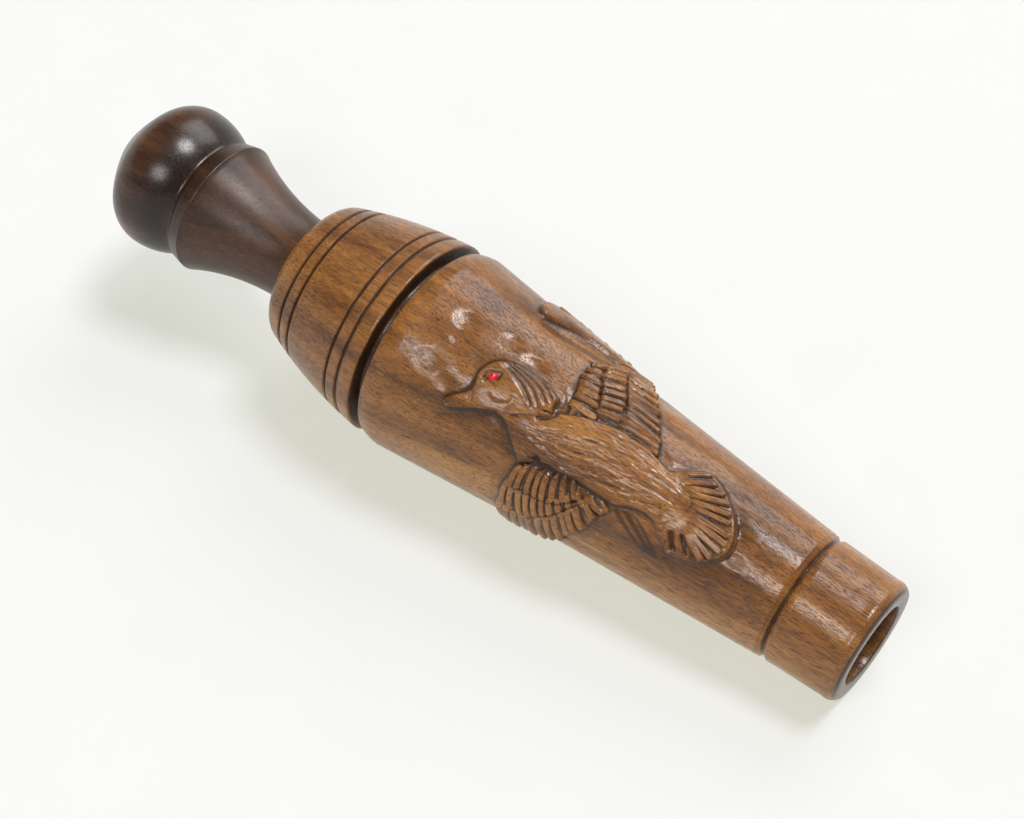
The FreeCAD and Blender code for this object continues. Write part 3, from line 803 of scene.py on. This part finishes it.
def walnut():
    look, colour, fibres, pores = wood(
        "walnut_oiled", (0.105, 0.037, 0.008), (0.270, 0.103, 0.022), (0.43, 0.195, 0.048),
        (0.040, 0.016, 0.006), 0.55, 0.46,
    )
    sunk = look.attribute("sunk")
    # Painted shade: sunk darkens the wood to a near-black brown; proud would lighten it where sunk
    # falls below zero, a painted highlight.
    deep = look.span(sunk, 0.08, 1.3)
    proud = look.span(look.maths("MULTIPLY", sunk, -1.0), 0.2, 1.6)
    colour = look.mix(look.maths("MULTIPLY", deep, 0.85), colour, (0.026, 0.012, 0.007))
    colour = look.mix(look.maths("MULTIPLY", proud, 0.3), colour, (0.50, 0.26, 0.10))
    look.link(colour, look.shader.inputs["Base Color"])
    height = look.maths("SUBTRACT", look.maths("MULTIPLY", fibres, 0.5), pores)
    look.bump(height, 0.00007, 0.6, coat=True)
    look.set(Coat_Weight=0.8, Coat_Roughness=0.2, Specular_IOR_Level=0.08)
    return look.material


def dark_wood():
    look, colour, fibres, pores = wood(
        "dark_polished_wood", (0.022, 0.009, 0.004), (0.052, 0.021, 0.010), (0.110, 0.045, 0.020),
        (0.012, 0.005, 0.003), 0.60, 0.5,
    )
    # Painted shade: sunk darkens the insert where it narrows behind the bulb.
    colour = look.mix(look.attribute("sunk"), colour, (0.006, 0.003, 0.002))
    look.link(colour, look.shader.inputs["Base Color"])
    height = look.maths("SUBTRACT", look.maths("MULTIPLY", fibres, 0.5), pores)
    look.bump(height, 0.00003, 0.4, coat=True)
    coat_roughness = look.span(look.attribute("satin"), 0.0, 1.0, 0.24, 0.4)
    look.link(coat_roughness, look.shader.inputs["Coat Roughness"])
    look.set(Coat_Weight=0.8, Specular_IOR_Level=0.05)
    return look.material


def plastic(name, colour, roughness, **values):
    """Moulded or machined plastic with faint tool lines."""
    look = Nodes(name)
    tool_lines = look.noise(look.mapping((300, 60, 300)), detail=2)
    fine = look.noise(look.mapping((1500, 1500, 1500)), detail=2)
    shade = look.ramp(tool_lines, [(0.3, tuple(0.85 * c for c in colour)), (0.7, colour)])
    look.link(shade, look.shader.inputs["Base Color"])
    rough = look.span(tool_lines, 0.3, 0.7, roughness - 0.04, roughness + 0.06)
    look.link(rough, look.shader.inputs["Roughness"])
    look.bump(fine, 0.00001, 0.3)
    look.set(**values)
    return look.material


def cork():
    look = Nodes("cork_grain")
    cells = look.noise(look.mapping((700, 700, 700)), detail=5, roughness=0.7)
    spots = look.span(look.noise(look.mapping((450, 450, 450)), detail=2), 0.6, 0.68)
    dark, middle, light = (0.30, 0.17, 0.08), (0.52, 0.33, 0.18), (0.66, 0.46, 0.27)
    colour = look.ramp(cells, [(0.3, dark), (0.5, middle), (0.7, light)])
    colour = look.mix(look.maths("MULTIPLY", spots, 0.8), colour, (0.14, 0.07, 0.035))
    look.link(colour, look.shader.inputs["Base Color"])
    look.bump(look.maths("SUBTRACT", cells, spots), 0.0002, 0.7)
    look.set(Roughness=0.85)
    return look.material


def dress(node, material):
    """Give a carried-over CAD node its material."""
    data = frame["nodes"][node].data
    data.materials.clear()
    data.materials.append(material)


# ---------------------------------------------------------------------------------------------
# Table, light and camera
# ---------------------------------------------------------------------------------------------

LOOK_AT = Vector((-0.0022, 0.0108, 0.0))
HEADING = 37.95         # degrees from +Y towards -X
DOWNWARD = 50.79
DISTANCE = 0.4449
LENS = 81.06


def aim(thing, location, target):
    thing.location = location
    thing.rotation_euler = (Vector(target) - Vector(location)).to_track_quat("-Z", "Y").to_euler()


def make_camera():
    data = bpy.data.cameras.new("camera")
    data.lens = LENS
    data.sensor_width = 36.0
    data.clip_start = 0.01
    camera = bpy.data.objects.new("camera", data)
    bpy.context.scene.collection.objects.link(camera)
    heading, down = math.radians(HEADING), math.radians(DOWNWARD)
    flat = Vector((-math.sin(heading), math.cos(heading), 0))
    forward = flat * math.cos(down) - Vector((0, 0, math.sin(down)))
    aim(camera, LOOK_AT - forward * DISTANCE, LOOK_AT)
    bpy.context.scene.camera = camera


def soft_box(name, location, target, size, power, colour=(1, 1, 1)):
    data = bpy.data.lights.new(name, "AREA")
    data.shape = "RECTANGLE"
    data.size, data.size_y = size
    data.energy = power
    data.color = colour
    lamp = bpy.data.objects.new(name, data)
    bpy.context.scene.collection.objects.link(lamp)
    aim(lamp, location, target)


def make_table():
    """A pale floor that curves up into a backdrop all round, so that no horizon shows."""
    look = Nodes("white_table")
    mottle = look.noise(look.mapping((60, 60, 60)), detail=3)
    # Painted light: the floor glows by its emission, which lifts its shadows to a warm grey and
    # lights the call from below; the bluish base colour evens out the emission's yellow tint in
    # full light.
    look.link(look.ramp(mottle, [(0.3, (0.310, 0.302, 0.370)), (0.7, (0.318, 0.310, 0.378))]),
              look.shader.inputs["Base Color"])
    look.set(Roughness=0.8, Specular_IOR_Level=0.2)
    look.set(Emission_Color=(0.98, 1.0, 0.82, 1), Emission_Strength=0.55)
    floor = [(0.6, 0.0), (1.6, 0.0), (2.4, 0.0)]
    sweep = [(2.6, 0.03), (2.8, 0.12), (2.95, 0.30), (3.0, 0.55), (3.0, 1.0)]
    rings, sides = floor + sweep, 64
    turns = np.arange(sides) * 2 * math.pi / sides
    spokes = [(math.cos(turn), math.sin(turn)) for turn in turns]
    points = [(x * radius, y * radius, rise) for radius, rise in rings for x, y in spokes]
    faces = [tuple(range(sides))]
    for inner in range(0, (len(rings) - 1) * sides, sides):
        outer = inner + sides
        for i in range(sides):
            j = (i + 1) % sides
            faces.append((inner + i, outer + i, outer + j, inner + j))
    mesh = bpy.data.meshes.new("table_top")
    mesh.from_pydata(points, [], faces)
    mesh.shade_smooth()
    mesh.materials.append(look.material)
    table = bpy.data.objects.new("table_top", mesh)
    bpy.context.scene.collection.objects.link(table)


def make_light():
    world = bpy.data.worlds.new("studio")
    world.use_nodes = True
    world.node_tree.nodes["Background"].inputs["Color"].default_value = (1.0, 1.0, 0.985, 1)
    world.node_tree.nodes["Background"].inputs["Strength"].default_value = 0.10
    bpy.context.scene.world = world
    key = bpy.data.lights.new("key", "SUN")
    key.energy = 2.2
    key.angle = math.radians(20)
    lamp = bpy.data.objects.new("key", key)
    bpy.context.scene.collection.objects.link(lamp)
    aim(lamp, (0.19, 0.25, 0.95), (0, 0, 0))
    soft_box("back", (-0.05, 0.95, 0.85), (0, 0, 0), (0.8, 0.7), 7.6)
    soft_box("front", (0.05, -0.72, 0.84), (0, 0, 0), (0.36, 0.32), 3.6)
    bpy.context.scene.view_settings.view_transform = "Standard"


make_camera()
make_light()
make_table()
make_barrel().data.materials.append(walnut())
make_insert().data.materials.append(dark_wood())
dress("tone_board", plastic("tone_board_acrylic", (0.02, 0.02, 0.022), 0.22, Coat_Weight=0.4))
reed_film = plastic("reed_film", (0.62, 0.66, 0.62), 0.3, Coat_Weight=0.2)
for reed in ("reed_long", "reed_short"):
    dress(reed, reed_film)
dress("wedge", cork())
rubber = plastic("seal_rubber", (0.02, 0.02, 0.02), 0.55)
for ring in ("o_ring_front", "o_ring_rear"):
    dress(ring, rubber)
red = plastic("red_bead", (0.72, 0.006, 0.018), 0.25, Coat_Weight=0.4, Coat_Roughness=0.08)
for bead in ("eye_bead_near", "eye_bead_far"):
    dress(bead, red)
